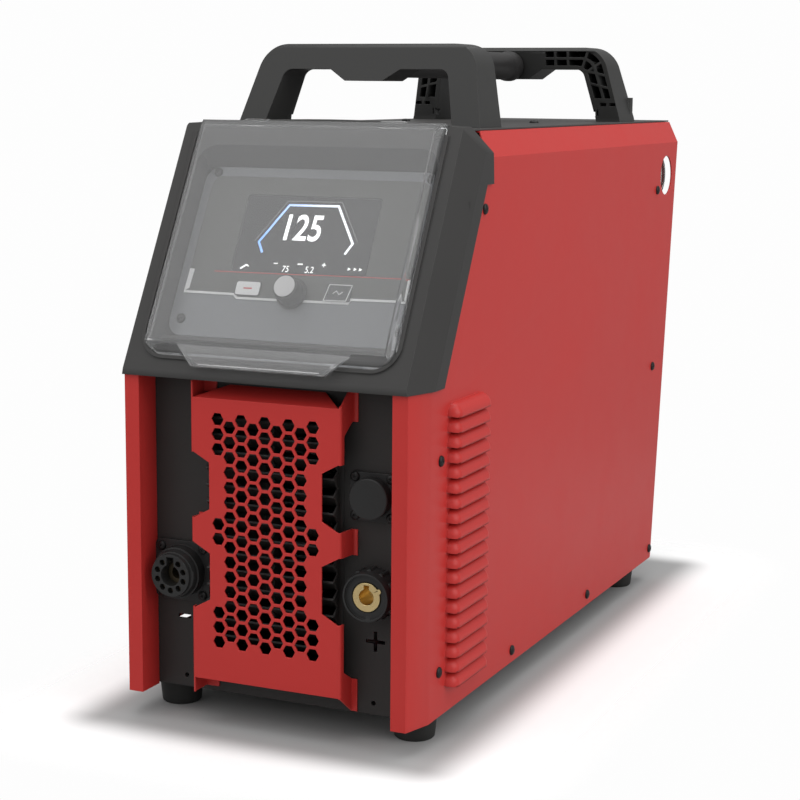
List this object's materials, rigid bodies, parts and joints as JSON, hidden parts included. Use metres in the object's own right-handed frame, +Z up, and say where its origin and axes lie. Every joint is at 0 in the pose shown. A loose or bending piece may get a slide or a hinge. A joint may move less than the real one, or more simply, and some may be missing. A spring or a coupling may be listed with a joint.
{
  "type": "plasma cutter unit",
  "caption": "Upright air plasma cutting power source with sloped control bezel, clear flip cover, guarded outlet, plug sockets and arched carrying handle.",
  "frame": {"origin": "centre of the footprint's bounding box, at the soles of the feet", "axes": "+Z up, front with the sockets towards -Y, gauge side towards +X"},
  "size_m": [0.2996, 0.7298, 0.5856],
  "materials": {
    "red_paint": "satin powder coat",
    "black_paint": "fine-textured powder coat",
    "roof_paint": "fine-textured powder coat",
    "bezel_plastic": "moulded, lightly grained",
    "handle_plastic": "moulded, satin",
    "grip_rubber": "satin",
    "foot_rubber": "matt",
    "socket_plastic": "satin",
    "knob_plastic": "satin",
    "black_steel": "black oxide",
    "zinc_steel": "zinc plated",
    "guard_wire": "plated wire",
    "brass": "turned",
    "plate_plastic": "satin",
    "keypad_film": "satin printed film",
    "key_rubber": "satin",
    "display_glass": "glossy",
    "clear_plastic": "clear, polished",
    "bowl_plastic": "clear polycarbonate",
    "gauge_glass": "clear, polished",
    "dial_white": "satin",
    "board_green": "solder mask",
    "bare_aluminium": "extruded",
    "galvanised": "galvanised",
    "ferrite": "ground ferrite with taped copper windings",
    "hose_blue": "smooth",
    "switch_red": "glossy"
  },
  "bodies": {
    "case": {"base_plate": "black_paint", "rubber_feet": "foot_rubber", "foot_screws": "zinc_steel", "side_panel_right": "red_paint", "side_panel_left": "red_paint", "side_screws": "black_steel", "top_cover": "roof_paint", "roof_rail": "galvanised", "top_screws": "black_steel", "front_panel": "black_paint", "outlet_louvres": "socket_plastic", "front_guard": "red_paint", "front_bezel": "bezel_plastic", "control_plate": "plate_plastic", "plate_screws": "black_steel", "keypad_overlay": "keypad_film", "display_module": "display_glass", "control_board": "board_green", "encoder_body": "zinc_steel", "hinge_pins": "zinc_steel", "torch_socket": "socket_plastic", "torch_contacts": "brass", "work_socket": "socket_plastic", "work_insert": "brass", "work_nut": "brass", "remote_socket": "socket_plastic", "socket_screws": "zinc_steel", "arch_front_piece": "handle_plastic", "arch_rear_piece": "handle_plastic", "grip_tube": "grip_rubber", "handle_screws": "zinc_steel", "rear_panel": "black_paint", "fan_frame": "socket_plastic", "fan_guard": "guard_wire", "fan_screws": "black_steel", "main_switch": "socket_plastic", "cable_gland": "socket_plastic", "gland_nut": "socket_plastic", "earth_stud": "brass", "regulator_body": "bare_aluminium", "filter_bowl": "bowl_plastic", "air_inlet": "brass", "gauge_case": "black_steel", "gauge_dial": "dial_white", "gauge_lens": "gauge_glass", "air_hose": "hose_blue", "solenoid_valve": "brass", "air_tunnel": "galvanised", "heat_sinks": "bare_aluminium", "transformer": "ferrite", "main_board": "board_green"},
    "cover": {"clear_cover": "clear_plastic"},
    "knob": {"control_knob": "knob_plastic"},
    "mode_button": {"mode_key": "key_rubber"},
    "purge_button": {"purge_key": "key_rubber"},
    "fan": {"fan_rotor": "socket_plastic"},
    "power_handle": {"switch_handle": "switch_red"},
    "pressure_knob": {"regulator_knob": "knob_plastic"},
    "pointer": {"gauge_needle": "black_steel"},
    "cap": {"remote_cap": "knob_plastic"}
  },
  "joints": [
    {"name": "cover_hinge", "type": "hinge", "parent": "case", "child": "cover", "pos_m": [0, -0.23824, 0.51188], "axis": [-1, 0, 0], "range_deg": [0, 105]},
    {"name": "knob_turn", "type": "hinge", "parent": "case", "child": "knob", "pos_m": [0, -0.30925, 0.37632], "axis": [0, -0.8766, 0.4813], "continuous": true},
    {"name": "mode_press", "type": "slide", "parent": "case", "child": "mode_button", "axis": [0, 0.8766, -0.4813], "range_m": [0, 0.0005], "stiffness_N_per_m": 1500, "springref_m": -0.0005},
    {"name": "purge_press", "type": "slide", "parent": "case", "child": "purge_button", "axis": [0, 0.8766, -0.4813], "range_m": [0, 0.0005], "stiffness_N_per_m": 1500, "springref_m": -0.0005},
    {"name": "fan_spin", "type": "hinge", "parent": "case", "child": "fan", "pos_m": [0, 0.28476, 0.173], "axis": [0, 1, 0], "continuous": true},
    {"name": "power_turn", "type": "hinge", "parent": "case", "child": "power_handle", "pos_m": [-0.088, 0.29977, 0.423], "axis": [0, -1, 0], "range_deg": [0, 90]},
    {"name": "pressure_turn", "type": "hinge", "parent": "case", "child": "pressure_knob", "pos_m": [0.088, 0.32077, 0.483], "axis": [0, 0, 1], "range_deg": [0, 1080]},
    {"name": "pointer_turn", "type": "hinge", "parent": "case", "child": "pointer", "pos_m": [0.13, 0.32077, 0.45], "axis": [-1, 0, 0], "range_deg": [0, 270]},
    {"name": "cap_pull", "type": "slide", "parent": "case", "child": "cap", "axis": [0, -1, 0], "range_m": [0, 0.03]}
  ]
}
